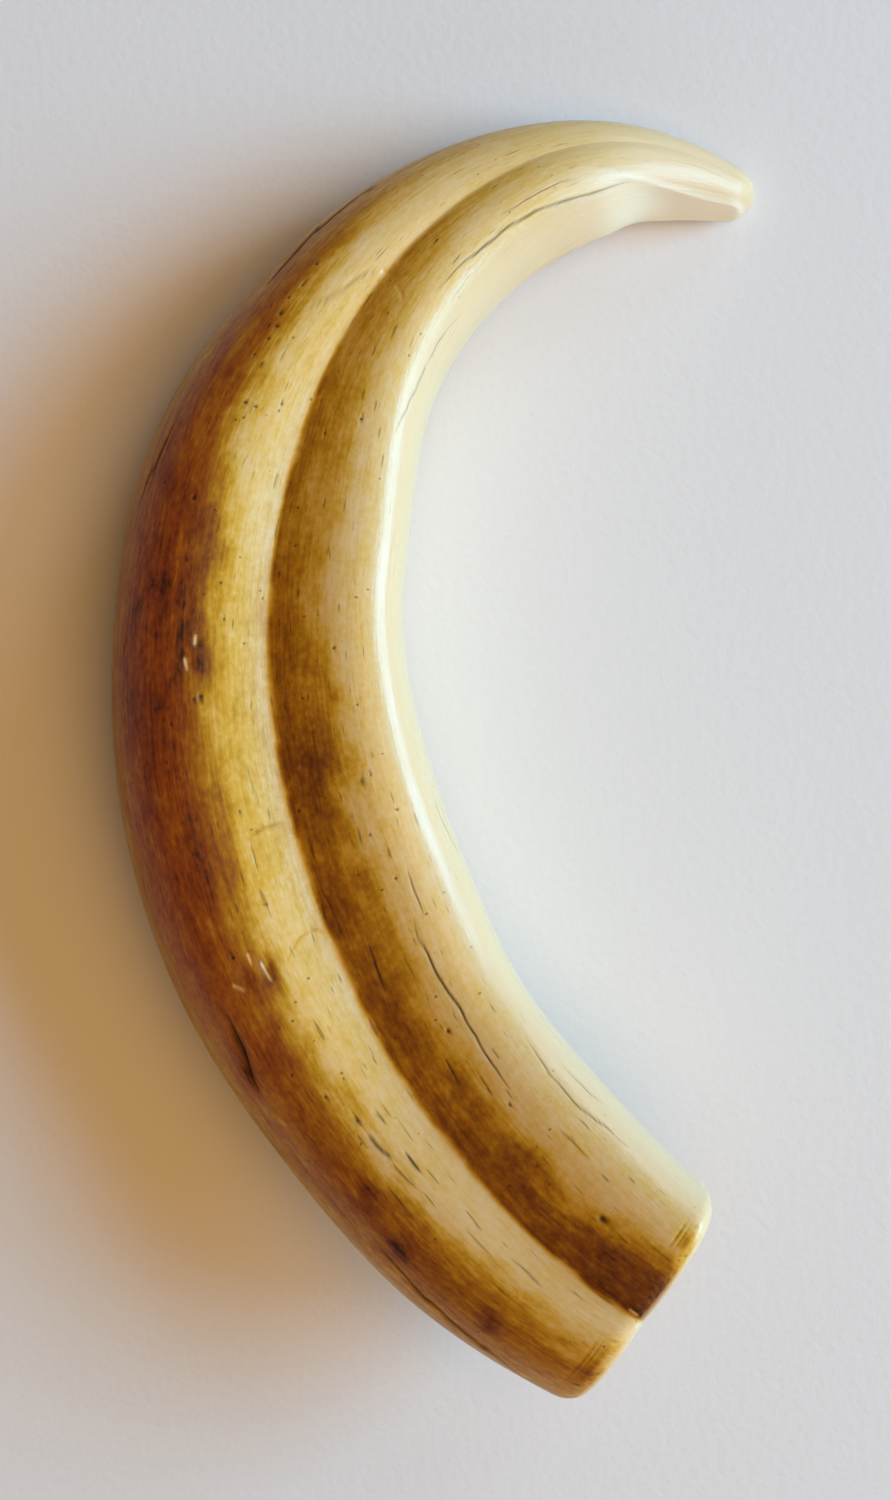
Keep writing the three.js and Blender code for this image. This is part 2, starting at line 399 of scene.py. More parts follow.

# %% [markdown]
# Shorter marks are lists too: dark dashes where a bundle of fibres has lifted, round pits,
# the one deep gash in the outer lobe, a dent with a raised lip beside it, and pale marks.
# Some are chips where the surface has sprung off. Those on the dent's lip and on scratches
# are painted highlights. A pit is a point with its width.

# %% Dashes, pits, dents and chips
DASHES = {
    "root_dash_high": (0.55, 0.35, 0.95, [(353, 1112), (356, 1120), (360, 1129)]),
    "root_dash_beside": (0.3, 0.2, 0.7, [(375, 1112), (381, 1118), (386, 1123)]),
    "root_hook": (0.45, 0.3, 0.85, [(373, 1134), (371, 1140), (375, 1144), (383, 1152), (392, 1160)]),
    "root_dash_long": (0.4, 0.3, 0.9, [(405, 1152), (413, 1163), (422, 1174)]),
    "root_dash_thin": (0.3, 0.2, 0.55, [(390, 1166), (403, 1177), (418, 1190)]),
    "root_dash_low": (0.3, 0.2, 0.6, [(385, 1186), (395, 1197), (405, 1209)]),
    "root_dash_faint": (0.3, 0.15, 0.4, [(466, 1227), (479, 1244), (493, 1262)]),
    "root_dash_last": (0.3, 0.18, 0.45, [(508, 1256), (524, 1271), (541, 1288)]),
    "furrow_dash": (0.35, 0.25, 0.7, [(296, 585), (298, 590), (299, 597)]),
    "flank_dash": (0.55, 0.25, 0.7, [(363, 774), (361, 780), (359, 787)]),
    "bend_dash": (0.4, 0.25, 0.6, [(231, 448), (234, 452), (236, 456)]),
    "valley_dash": (0.6, 0.3, 0.8, [(277, 724), (278, 729), (279, 735)]),
    "middle_dash": (0.45, 0.25, 0.5, [(193, 918), (195, 925), (197, 931)]),
    "honey_dash": (0.5, 0.2, 0.55, [(344, 823), (349, 821), (354, 819)]),
    "edge_dash": (0.3, 0.2, 0.6, [(484, 1054), (491, 1063), (498, 1072)]),
}
PITS = {
    "pair_high": [(245, 402, 0.7), (256, 406, 0.55), (282, 405, 0.45), (279, 411, 0.35), (243, 418, 0.4)],
    "bend": [(437, 238, 0.4), (321, 399, 0.35), (361, 418, 0.6), (324, 432, 0.4), (338, 371, 0.35)],
    "outer_bend": [(316, 264, 0.6), (309, 273, 0.4), (302, 285, 0.5), (289, 296, 0.5), (280, 314, 0.7)],
    "outer_low_bend": [(277, 325, 0.7), (270, 324, 0.4), (268, 338, 0.5), (262, 362, 0.4), (254, 354, 0.5)],
    "middle": [(194, 497, 0.75), (163, 481, 0.4), (295, 546, 0.4), (279, 572, 0.35), (220, 583, 0.4)],
    "below": [(224, 618, 0.45), (263, 598, 0.35), (317, 614, 0.35), (317, 662, 0.3), (333, 648, 0.5)],
    "low": [(200, 697, 0.8), (193, 698, 0.45), (357, 705, 0.4), (170, 725, 0.6), (151, 585, 0.6)],
    "flank": [(369, 835, 0.4), (398, 809, 0.4), (395, 878, 0.45), (298, 811, 0.6), (240, 811, 0.4)],
    "root": [(447, 1031, 0.75), (291, 1075, 0.5), (343, 1079, 0.3), (325, 1096, 0.55), (267, 905, 0.45)],
    "near_cut": [(603, 1220, 1.0), (509, 1105, 0.5), (231, 958, 0.7), (414, 940, 0.4), (370, 775, 0.4)],
}
GASH_WIDTH = 1.15
GASH_DEPTH = 1.0
GASH = [(224, 1014), (232, 1032), (241, 1051), (245, 1065), (250, 1079), (259, 1093)]
# Pale marks: chips, and painted highlights on the dent's lip and on scratches.
CHIPS = {
    "bend_chip": [(384, 267), (387, 275)],
    "bend_chip_low": [(396, 282), (399, 290), (403, 299)],
    "outer_scratch": [(196, 633), (195, 646)],
    "outer_scratch_low": [(184, 657), (186, 664), (189, 671)],
    "lip_of_the_dent": [(260, 961), (266, 971), (273, 983)],
    "lip_beside": [(248, 953), (250, 960), (252, 966)],
    "scratch_below": [(231, 984), (238, 987), (246, 991)],
    "notch_chip": [(628, 1309), (634, 1314), (640, 1318)],
}
DENTS = {
    "by_the_gash": (268, 966, 1.3, 0.55),
    "beside_the_lip": (243, 974, 1.4, 0.4),
    "outer_nick": (191, 660, 0.8, 0.3),
    "under_the_nick": (198, 641, 0.9, 0.2),
    "bend_nick": (391, 276, 1.0, 0.25),
}
print(len(DASHES), "dashes and", sum(len(pits) for pits in PITS.values()), "pits")

# %% [markdown]
# Growth stopped and started again a few times, and each time left a low step across the
# outer lobe. A ledge is drawn as a crack is, but what lies beyond its line stays lower.

# %% Growth ledges
LEDGES = {
    "arc_by_the_furrow": (0.14, [(286, 968), (291, 952), (299, 940), (309, 932), (320, 929), (330, 938)]),
    "upper_arc": (0.08, [(246, 842), (254, 834), (266, 827), (280, 821), (290, 824)]),
}
print(len(LEDGES), "growth ledges")

# %% [markdown]
# A mark's points are first lifted from the picture to the skin under them, and distances are
# then measured on the tusk, in millimetres. Measured in the picture, a crack on a steep flank
# would smear down the flank. Only the skin that faces the camera can be under a mark.

# %% From the picture to the tusk
CAMERA_PLACE = np.array([CAMERA_X, CAMERA_Y, CAMERA_HEIGHT])
LEAST_FACING = 0.05
LIFT_STEP_PIXELS = 7


def seen_skin(points, normals):
    """The points that face the camera, as the picture has them and in mm."""
    towards = CAMERA_PLACE - points
    facing = (normals * towards).sum(axis=1) > LEAST_FACING * np.linalg.norm(towards, axis=1)
    return in_picture(points[facing]), points[facing]


def lifted(places, skin):
    """The places on the tusk, in mm, under places in the picture."""
    seen, points = skin
    found = []
    for place in places:
        distance = np.linalg.norm(seen - place, axis=1)
        nearest = np.argpartition(distance, 4)[:4]
        weight = 1 / (distance[nearest] + 0.1)
        found.append(weight @ points[nearest] / weight.sum())
    return np.array(found)


def lifted_line(line, skin):
    """A line of the picture, cut into short steps and lifted to the tusk."""
    x, y = np.array(line, float).T
    travelled = np.concatenate([[0], np.cumsum(np.hypot(np.diff(x), np.diff(y)))])
    steps = np.linspace(0, travelled[-1], max(2, round(travelled[-1] / LIFT_STEP_PIXELS)))
    return lifted(np.stack([np.interp(steps, travelled, x), np.interp(steps, travelled, y)], axis=1), skin)


def to_line(places, line):
    """Distance in mm from places to a line, and how far along it the nearest point is."""
    best = np.full(len(places), np.inf)
    travelled = np.zeros(len(places))
    lengths = np.linalg.norm(np.diff(line, axis=0), axis=1)
    starts = np.concatenate([[0], np.cumsum(lengths)])
    for start, end, length, before in zip(line, line[1:], lengths, starts):
        t = np.clip((places - start) @ (end - start) / max(length**2, 1e-9), 0, 1)
        distance = np.linalg.norm(places - start - t[:, None] * (end - start), axis=1)
        nearer = distance < best
        best = np.where(nearer, distance, best)
        travelled = np.where(nearer, before + t * length, travelled)
    return best, travelled / starts[-1]


def all_pits():
    return [pit for pits in PITS.values() for pit in pits]


# %% [markdown]
# A crack is thinner than the blank's faces, so the faces under it are divided first. Lines
# that run with the fibres need more lines beside them and no more rings, which is four times
# cheaper than a full grid. Pits, dents, chips and the gash get the full grid. A finer mesh
# all over would do the same with millions of faces.

# %% Faces near the marks
FINE_REACH = 0.62
ROUND_REACH = 0.5
CHIP_REACH = 0.8


def near_fine_lines(places, skin):
    near = np.zeros(len(places), bool)
    for width, _, _, line in [*CRACKS.values(), *DASHES.values()]:
        near |= to_line(places, lifted_line(line, skin))[0] < FINE_REACH + width / 2
    return near


def near_round_marks(places, skin):
    near = to_line(places, lifted_line(GASH, skin))[0] < ROUND_REACH + GASH_WIDTH
    for line in CHIPS.values():
        near |= to_line(places, lifted_line(line, skin))[0] < CHIP_REACH
    for _, line in LEDGES.values():
        near |= to_line(places, lifted_line(line, skin))[0] < ROUND_REACH
    for x, y, width in all_pits():
        middle = lifted([(x, y)], skin)[0]
        near |= np.linalg.norm(places - middle, axis=1) < ROUND_REACH + width / 2
    return near


# %% Divide the faces under the marks
FINE_CUTS = 3
ROUND_CUTS = 2


def outer_faces(bm):
    """The faces outside the cavity, and the middle and normal that each will have on the tusk."""
    radius, angle, along, _ = blank_places(bm)
    points = on_tusk(radius, angle, along)
    faces = [face for face in bm.faces if len(face.verts) == 4]
    corners = np.array([[vertex.index for vertex in face.verts] for face in faces])
    outer = radius[corners].min(axis=1) > 0.95 * BLANK_RADIUS
    corners = corners[outer]
    faces = [face for face, kept in zip(faces, outer) if kept]
    a, b, c, d = (points[corners[:, i]] for i in range(4))
    normals = np.cross(c - a, d - b)
    normals /= np.linalg.norm(normals, axis=1, keepdims=True)
    above = np.sin(angle[corners]).min(axis=1) > 0.5
    outwards = np.sign(normals[above, 2].mean())
    return faces, (a + b + c + d) / 4, normals * outwards


def runs_round(edge):
    return abs(edge.verts[0].co.y - edge.verts[1].co.y) < 1e-3


def put_in_order(bm):
    """Numbers the vertices and faces by their places, so that each run gives the same mesh."""
    for i, vertex in enumerate(sorted(bm.verts, key=lambda vertex: vertex.co.yxz[:])):
        vertex.index = i
    bm.verts.sort()
    corners = {face: sorted(vertex.index for vertex in face.verts) for face in bm.faces}
    for i, face in enumerate(sorted(corners, key=corners.get)):
        face.index = i
    bm.faces.sort()


def divide_under_marks(bm):
    bm.verts.index_update()
    bm.edges.index_update()
    faces, middles, normals = outer_faces(bm)
    skin = seen_skin(middles, normals)
    round_faces = [face for face, near in zip(faces, near_round_marks(middles, skin)) if near]
    fine_faces = [face for face, near in zip(faces, near_fine_lines(middles, skin)) if near]
    round_edges = {edge for face in round_faces for edge in face.edges}
    fine_edges = {edge for face in fine_faces for edge in face.edges if runs_round(edge)}
    for edges, cuts in ((fine_edges - round_edges, FINE_CUTS), (round_edges, ROUND_CUTS)):
        in_order = sorted(edges, key=lambda edge: edge.index)
        bmesh.ops.subdivide_edges(bm, edges=in_order, cuts=cuts, use_grid_fill=True)


put_in_order(bm)
divide_under_marks(bm)
put_in_order(bm)
print("after dividing:", len(bm.verts), "vertices and", len(bm.faces), "faces")

# %% [markdown]
# Now every vertex is carried from the blank to the tusk. The spin may have turned the skin
# inside out, so its normals are recalculated here, after its doubles were merged.

# %% Carry the blank to the tusk
def set_places(bm, points):
    for vertex, point in zip(bm.verts, points):
        vertex.co = point


def vertex_normals(bm):
    bm.normal_update()
    return np.array([vertex.normal[:] for vertex in bm.verts])


radius, angle, along, around = blank_places(bm)
share = along / TUSK_LENGTH
points = on_tusk(radius, angle, along)
set_places(bm, points)
bmesh.ops.recalc_face_normals(bm, faces=bm.faces)
normals = vertex_normals(bm)
skin = seen_skin(points, normals)
outside = radius > 0.99 * BLANK_RADIUS
in_cavity = (radius < CAVITY_MOUTH + 0.01) & (along <= CAVITY_DEPTH)
print("the tusk is", (points.max(axis=0) - points.min(axis=0)).round(2), "mm")

# %% [markdown]
# The relief is added up as one depth for each vertex, and only then is the skin pressed in
# along its normals. First comes what covers all of it: slow waves from the growth, and fine
# ridges that run with the fibres. Noise is read on the straight blank, stretched along it, so
# the ridges follow the curve of the tusk without a seam.

# %% Waves and fibres
SKIN_NOISES = {
    # name: (size in mm around, along and around, seed, depth in mm)
    "waves": ((14, 26, 14), 3.1, 0.22),
    "ridges": ((2.6, 46, 2.6), 11.7, 0.07),
    "fibres": ((1.0, 30, 1.0), 23.9, 0.035),
}


def noise_on_blank(size, seed):
    """Noise from 0 to 1 at each vertex. Its size is in mm: around, along, around."""
    places = around / np.array(size) + seed
    return np.array([0.5 + 0.5 * noise.noise(Vector(place)) for place in places])


skin_noises = {name: noise_on_blank(size, seed) for name, (size, seed, _) in SKIN_NOISES.items()}
relief = sum(skin_noises[name] * deep for name, (_, _, deep) in SKIN_NOISES.items())
depth = ~in_cavity * relief
print("waves and fibres press in by up to", round(depth.max(), 3), "mm")

# %% [markdown]
# The cracks go in as soft V-shaped grooves that fade at both ends. A slow wobble on the
# place keeps them from running like ruled lines. The same distance also gives the dirt, a
# value on each vertex that the material reads later, so a crack is dark where it is deep.

# %% Cut the cracks, dashes and gash
WOBBLE_MM = 0.45
WOBBLE_SEEDS = (41.3, 57.1, 66.9)
CRACK_OPENING = 0.65
CRACK_ENDS = 0.3
GASH_ENDS = 0.55
NARROWEST = 0.35
SHALLOWING = 0.6
dirt = np.zeros(len(points))


def groove(line, width, ends):
    """A line's depth share at each vertex, 1 in the middle of the line and 0 beside it.

    It gets narrower and shallower over a share of its length, ends, at each end.
    """
    distance, travelled = to_line(wobbled, lifted_line(line, skin))
    fade = np.clip(np.minimum(travelled, 1 - travelled) / ends, 0, 1)
    half = 0.5 * width * (NARROWEST + (1 - NARROWEST) * np.sqrt(fade))
    return np.exp(-((distance / half) ** 2)) * fade**SHALLOWING


def from_middle(x, y):
    """Distance in mm from each vertex to the place under a point of the picture."""
    return np.linalg.norm(wobbled - lifted([(x, y)], skin)[0], axis=1)


wobble = [noise_on_blank((3, 3, 3), seed) - 0.5 for seed in WOBBLE_SEEDS]
wobbled = points + WOBBLE_MM * np.stack(wobble, axis=1)
for width, line_depth, line_dirt, line in [*CRACKS.values(), *DASHES.values()]:
    share_here = groove(line, width, CRACK_ENDS)
    depth += CRACK_OPENING * line_depth * share_here
    dirt = np.maximum(dirt, line_dirt * np.sqrt(share_here))

gash = groove(GASH, GASH_WIDTH, GASH_ENDS)
depth += GASH_DEPTH * gash
dirt = np.maximum(dirt, np.sqrt(gash))
print("the deepest vertex is now", round(depth.max(), 2), "mm in")

# %% [markdown]
# Pits are small round cups. Dents are shallow bowls. Chips are thin flakes that have sprung
# off and left pale places with sharp edges, and a growth ledge is a step. The same pale
# colour on the dent's lip and on scratches is a painted highlight, over a shallow groove.

# %% Press pits and dents, lift chips, step the ledges
PIT_RADIUS = 0.55
PIT_DEPTH = 0.3
PIT_DIRT = 0.9
CHIP_WIDTH = 0.5
CHIP_DEPTH = 0.16
CHIP_ENDS = 0.2
LEDGE_WIDTH = 0.5
LEDGE_REACH = 7.0
LEDGE_ENDS = 0.3
LEDGE_LINE_WIDTH = 0.3
chip_and_painted_glint = np.zeros(len(points))
stained_ledge = np.zeros(len(points))

for x, y, width in all_pits():
    pit = np.exp(-((from_middle(x, y) / (PIT_RADIUS * width)) ** 4))
    depth += PIT_DEPTH * width * pit
    dirt = np.maximum(dirt, PIT_DIRT * pit)

for x, y, width, dent_depth in DENTS.values():
    depth += dent_depth * np.exp(-((from_middle(x, y) / width) ** 2))

for line in CHIPS.values():
    here = groove(line, CHIP_WIDTH, CHIP_ENDS)
    depth += CHIP_DEPTH * here
    chip_and_painted_glint = np.maximum(chip_and_painted_glint, here)

for ledge_depth, line in LEDGES.values():
    distance, travelled = to_line(wobbled, lifted_line(line, skin))
    fade = np.clip(np.minimum(travelled, 1 - travelled) / LEDGE_ENDS, 0, 1)
    right, down = in_picture(wobbled).T
    beyond = np.sign(down - np.interp(right, *np.array(line, float).T))
    step = smoothstep(beyond * distance, -LEDGE_WIDTH, LEDGE_WIDTH) * np.exp(-distance / LEDGE_REACH)
    depth += ledge_depth * fade * step
    stained_ledge = np.maximum(stained_ledge, fade * np.exp(-((distance / LEDGE_LINE_WIDTH) ** 2)))
print("vertices in pits and cracks:", int((dirt > 0.4).sum()), "and in chips:", int((chip_and_painted_glint > 0.4).sum()))

# %% [markdown]
# The saw left fine lines beside the cut, and its last strokes broke small flakes off the
# edge. The cut face has the same strokes across it. Inside the pulp cavity the dentine was
# laid down in rings.

# %% Saw lines and the cavity's rings
SAW_LINES = {"close": 2.5, "middle": 3.3, "far": 4.2}
SAW_LINE_WIDTH = 0.34
SAW_LINE_DEPTH = 0.1
SAW_GROUPS = {
    # name: (across the section, half width of the group)
    "inner_lobe": (0.58, 0.17),
    "outer_lobe": (-0.55, 0.2),
}
PATCH_SIZE = (5, 60, 5)
WANDER_SIZE = (16, 60, 16)
WANDER_MM = 0.5
STROKE_SIZE = (60, 1, 0.9)
STROKE_DEPTH = 0.05
RING_DEPTH = 0.12
RING_SPACING = 2.4
RING_WAVINESS = 4

strokes = noise_on_blank(STROKE_SIZE, 5.5)
saw = np.zeros(len(points))
across, furrow_place = across_at(share, angle)
groups = [np.exp(-(((across - middle) / half) ** 4)) for middle, half in SAW_GROUPS.values()]
patchy = sum(groups) * smoothstep(noise_on_blank(PATCH_SIZE, 71.3), 0.3, 0.5) * (np.sin(angle) > 0)
for line_place in SAW_LINES.values():
    wander = WANDER_MM * (noise_on_blank(WANDER_SIZE, line_place) - 0.5)
    saw = np.maximum(saw, np.exp(-(((along - line_place + wander) / (SAW_LINE_WIDTH / 2)) ** 2)))
saw *= outside * patchy
depth += SAW_LINE_DEPTH * saw

on_cut = (along < 0.05) & (radius >= CAVITY_MOUTH)
depth += STROKE_DEPTH * strokes * on_cut
turns = 2 * math.pi * along / RING_SPACING + RING_WAVINESS * skin_noises["waves"]
rings = 0.5 + 0.5 * np.sin(turns)
depth += RING_DEPTH * rings * in_cavity * smoothstep(along, 0.2, 3)
print("saw lines cover", int((saw > 0.4).sum()), "vertices")

# %% Press the skin in
def press_in(bm, points, normals, depth):
    pressed = points - normals * depth[:, None]
    pressed[:, 2] = np.maximum(pressed[:, 2], 0)
    set_places(bm, pressed * MM)
    return pressed


pressed = press_in(bm, points, normals, depth)
print("the finished tusk is", (pressed.max(axis=0) - pressed.min(axis=0)).round(2), "mm")

# %% [markdown]
# Age stains ivory where dirt and hands' oils stay: on the flank outside the curve, on the
# inner flank of the furrow and near the root. The rubbed crests stay cream. The stain is a
# value on each vertex, from 0 for cream to 1.6 for nearly black. Each band has an amount and
# a reach at every tenth of the length, and slow noise moves its border, as a stain that crept
# in would have it. It could be painted by hand, but a formula can be read.

# %% Values of the patina
DARKEST = 1.6
CREST_STAIN = [0.05, 0.08, 0.12, 0.22, 0.38, 0.32, 0.2, 0.16, 0.08, 0.14, 0.1]
OUTER_STAIN = [0.64, 0.86, 0.88, 0.98, 1.12, 1.25, 0.98, 0.76, 0.4, 0.28, 0.22]
OUTER_REACH = [0.46, 0.45, 0.42, 0.36, 0.36, 0.31, 0.34, 0.46, 0.5, 0.5, 0.5]
# Painted bounce light: how much paler the outer edge is made.
OUTER_EDGE_PAINTED_BOUNCE = 0.35
BAND_SOFTNESS = 0.2
FURROW_STAIN = [1.12, 0.96, 0.88, 0.88, 0.96, 0.74, 0.66, 0.46, 0.36, 0.15, 0.1]
FURROW_REACH = [0.5, 0.38, 0.34, 0.32, 0.33, 0.3, 0.28, 0.36, 0.3, 0.3, 0.3]
INNER_CREST_STAIN = 0.12
REDNESS = [0.15, 0.2, 0.4, 0.85, 1, 1, 0.85, 0.6, 0.4, 0.3, 0.3]
UNDER_STAIN = 0.7
CUT_STAIN = 0.22
CUT_STAIN_MM = 4
VALLEY_LINE_STAIN = 0.5
VALLEY_LINE_WIDTH = 0.022
LEDGE_STAIN = 0.4
SAW_LINE_STAIN = 0.45
BORDER_CLOUDS = 0.24
BORDER_SMALL_CLOUDS = 0.16
RIM_RUBBED = 0.35
RUBBED = 0.85
FACET_SOFTNESS = 1.2
FACET_FADE = 0.04
STAIN_PATCHES = {
    # name: (across and down in the picture, width in mm, amount)
    "above_the_cut": (371, 1203, 2.4, 0.5),
    "above_the_cut_low": (399, 1249, 2.2, 0.5),
    "near_the_cut": (489, 1322, 1.8, 0.6),
    "by_the_gash": (250, 1078, 2.8, 0.6),
    "outer_middle": (273, 1047, 2.0, 0.3),
    "bruise": (262, 978, 3.2, 0.4),
    "flank_below_the_middle": (205, 852, 3.2, 0.16),
    "flank_lower": (216, 885, 2.6, 0.15),
    "flank_edge": (200, 640, 3.0, 0.2),
    "beside_the_nick": (207, 664, 2.2, 0.3),
    "furrow_below_the_middle": (318, 758, 4.0, 0.3),
    "furrow_near_the_cut": (600, 1258, 5.0, 0.12),
    "outer_bend": (279, 318, 2.2, 0.4),
}

print("patina has", len(CREST_STAIN), "stations and", len(STAIN_PATCHES), "patches")

# %% Bands of stain
def reached(value, reach):
    """0 before the reach and 1 past it, with a soft border."""
    return smoothstep(value, reach - BAND_SOFTNESS, reach + BAND_SOFTNESS)


above = np.sin(angle) > 0
beside = across - furrow_place
clouds = noise_on_blank((5, 12, 5), 83.2) - 0.5
small_clouds = noise_on_blank((2.2, 5, 2.2), 29.4) - 0.5
border = BORDER_CLOUDS * clouds + BORDER_SMALL_CLOUDS * small_clouds

outer_band = reached(border - across, along_stations(OUTER_REACH, share))
furrow_band = smoothstep(beside, -0.01, 0.05) * above
furrow_band = furrow_band * (1 - reached(beside + border, along_stations(FURROW_REACH, share)))
under_band = smoothstep(-np.sin(angle), 0.2, 0.8)
crest = along_stations(CREST_STAIN, share)
crest += (INNER_CREST_STAIN - crest) * smoothstep(beside, 0.2, 0.5)
# Painted light: the outer edge is made paler, standing in for light bounced from the paper.
edge_painted_bounce = 1 - OUTER_EDGE_PAINTED_BOUNCE * smoothstep(-across, 0.78, 0.97)
outer_part = outer_band * (along_stations(OUTER_STAIN, share) * edge_painted_bounce - crest)
furrow_part = furrow_band * (along_stations(FURROW_STAIN, share) - crest)
under_part = under_band * (UNDER_STAIN - crest)
patina = crest + np.maximum(np.maximum(outer_part, furrow_part), under_part)
print("mean stain of the bands", round(patina.mean(), 2))

# %% [markdown]
# Over the bands lie small stains: patches, a dark line in the bottom of the furrow, and dirt
# beside the cut, in the saw lines and at the ledges. The edges that hands and wear have
# rubbed stay pale.

# %% Small stains and rubbed edges
for x, y, width, amount in STAIN_PATCHES.values():
    patina += amount * np.exp(-((from_middle(x, y) / width) ** 2)) * (1 + 2 * small_clouds)
near_cut = np.exp(-((along / CUT_STAIN_MM) ** 2)) * above
patina += CUT_STAIN * near_cut * smoothstep(beside, 0, 0.05) * (1 - smoothstep(across, 0.62, 0.78))
valley_line = np.exp(-(((beside - 0.01) / VALLEY_LINE_WIDTH) ** 2)) * smoothstep(-share, -0.8, -0.6)
patina += VALLEY_LINE_STAIN * valley_line * smoothstep(small_clouds, -0.15, 0.1) * above
off_rim = smoothstep(along, 0.3, 1.3)
patina += LEDGE_STAIN * stained_ledge + SAW_LINE_STAIN * saw - RIM_RUBBED * (1 - off_rim)
patina = np.clip(patina, 0, DARKEST)
reddish = smoothstep(-across, 0.2, 0.6) * along_stations(REDNESS, share)
rubbed = np.maximum(smoothstep(across, 0.72, 0.92), smoothstep(share, 0.84, 0.96))
rubbed = RUBBED * np.maximum(rubbed, 1 - off_rim) * ~in_cavity
# Painted light: the rubbed facet under the tip is painted nearly white, so that it looks lit though it
# faces away from the lights.
facet_painted_light = smoothstep((points - FACET_POINT) @ facet_normal, -FACET_SOFTNESS, 0)
facet_painted_light *= smoothstep(share, FACET_START - FACET_FADE, FACET_FULL)
print("mean patina", round(patina.mean(), 2))

# %% [markdown]
# The mesh is written once, with what the material needs as attributes: the dirt, the patina,
# the chips and painted highlights, the painted light on the facet, and each vertex's place on
# the straight blank, which is where the grain of the ivory is straight.

# %% Write the piece
def add_values(mesh, name, values):
    attribute = mesh.attributes.new(name, "FLOAT", "POINT")
    attribute.data.foreach_set("value", values.astype(np.float32))


def add_vectors(mesh, name, vectors):
    attribute = mesh.attributes.new(name, "FLOAT_VECTOR", "POINT")
    attribute.data.foreach_set("vector", vectors.astype(np.float32).ravel())


def write_piece(bm, name):
    for face in bm.faces:
        face.smooth = True
    mesh = bpy.data.meshes.new(name)
    bm.to_mesh(mesh)
    bm.free()
    piece = bpy.data.objects.new(name, mesh)
    bpy.context.scene.collection.objects.link(piece)
    return piece


# The pulp cavity has darker dentine, and painted shade that deepens further in.
cavity_shade = in_cavity * smoothstep(along, 0, 20) + 0.5 * in_cavity
surface = {
    "dirt": dirt,
    "patina": patina,
    "reddish": reddish,
    "rubbed": rubbed,
    "facet_painted_light": facet_painted_light,
    "chip_and_painted_glint": chip_and_painted_glint,
    "cavity": cavity_shade,
}
tusk = write_piece(bm, "carved_tusk")
for name, values in surface.items():
    add_values(tusk.data, name, values)
add_vectors(tusk.data, "grain", around * MM)
triangles = sum(len(polygon.vertices) - 2 for polygon in tusk.data.polygons)
print("the piece has", triangles, "triangles")

# %% [markdown]
# Old ivory, polished. Dentine is a dense, slightly see-through material, so light goes in a
# few millimetres and comes out warmer, and its polish gives a soft bright highlight that the
# fibres break up. That highlight isn't painted: each stain lies in the surface, under the
# same gloss. The colours go from cream through honey to brown by the patina, clouded by
# noise. The dirt of the furrow is an olive brown and that of the outer flank a redder one.
# The rubbed edges are paler and less yellow, and the tusk is duller where it is stained than
# where it is rubbed. Painted light lies over this in three places. The rubbed facet under the
# tip is painted nearly white, so that it looks lit though it faces away from the lights. Some
# pale marks, on a dent's lip and on scratches, are painted highlights. The pulp cavity's
# darker dentine gets painted shade that deepens further in.
# Dentine's own fibres are far finer than a tenth of a millimetre, which a picture of a whole
# tusk can't show, so the finest noise here is drawn 0.45 mm wide.

# %% Helpers for materials
def linear(hex_colour):
    """The linear RGBA of an sRGB hex colour."""
    parts = [int(hex_colour[i : i + 2], 16) / 255 for i in (1, 3, 5)]
    rgb = [part / 12.92 if part <= 0.04045 else ((part + 0.055) / 1.055) ** 2.4 for part in parts]
    return (*rgb, 1.0)


def add_node(tree, kind, inputs=None, **settings):
    """Adds a node, with its settings, and its inputs as values or as other nodes' outputs."""
    node = tree.nodes.new(kind)
    for name, value in settings.items():
        setattr(node, name, value)
    for name, value in (inputs or {}).items():
        if isinstance(value, bpy.types.NodeSocket):
            tree.links.new(value, node.inputs[name])
        else:
            node.inputs[name].default_value = value
    return node


def new_material(name):
    material = bpy.data.materials.new(name)
    material.use_nodes = True
    tree = material.node_tree
    tree.nodes.clear()
    return material, tree


# %% Colours of old ivory
FURROW_COLOURS = {
    # stain: colour
    0.0: "#E8CC94",
    0.2: "#E2C072",
    0.35: "#DAB046",
    0.55: "#C8981E",
    0.75: "#B27C14",
    0.9: "#A06A12",
    1.1: "#8A5212",
    1.3: "#784310",
    1.6: "#3A1C08",
}
FLANK_COLOURS = {
    0.0: "#E8CC94",
    0.2: "#E0BC70",
    0.35: "#D2A448",
    0.55: "#BE8818",
    0.75: "#B47216",
    0.95: "#A85C12",
    1.15: "#964A10",
    1.3: "#873E0E",
    1.6: "#3C1B04",
}
LAYERS = {
    # attribute: colour over the stain
    "rubbed": "#E6C79B",
    # painted light on the rubbed facet under the tip
    "facet_painted_light": "#F4E7CA",
    # darker dentine, with painted shade deeper in the pulp cavity
    "cavity": "#6E4A22",
    # chips, and painted highlights on the dent's lip and on scratches
    "chip_and_painted_glint": "#E6C078",
    "dirt": "#241206",
}
PLAIN_CLOUDING = 0.32
STAINED_CLOUDING = 0.55
SPECK_COLOUR = "#4A2408"
SPECK_MM = 3.2
DASH_WIDTH_MM = 0.45
DASH_STRETCH = 9.0
NOISES = {
    # name: (size in mm, times longer along the tusk, detail, how much it adds to the stain)
    "clouds": (6.0, 2.0, 4.0, 0.85),
    "mottle": (2.2, 1.6, 4.0, 0.9),
    "grit": (0.7, 1.7, 3.0, 0.9),
    "streaks": (1.3, 16.0, 4.0, 0.8),
    "fibres": (0.45, 12.0, 2.0, 0.8),
}


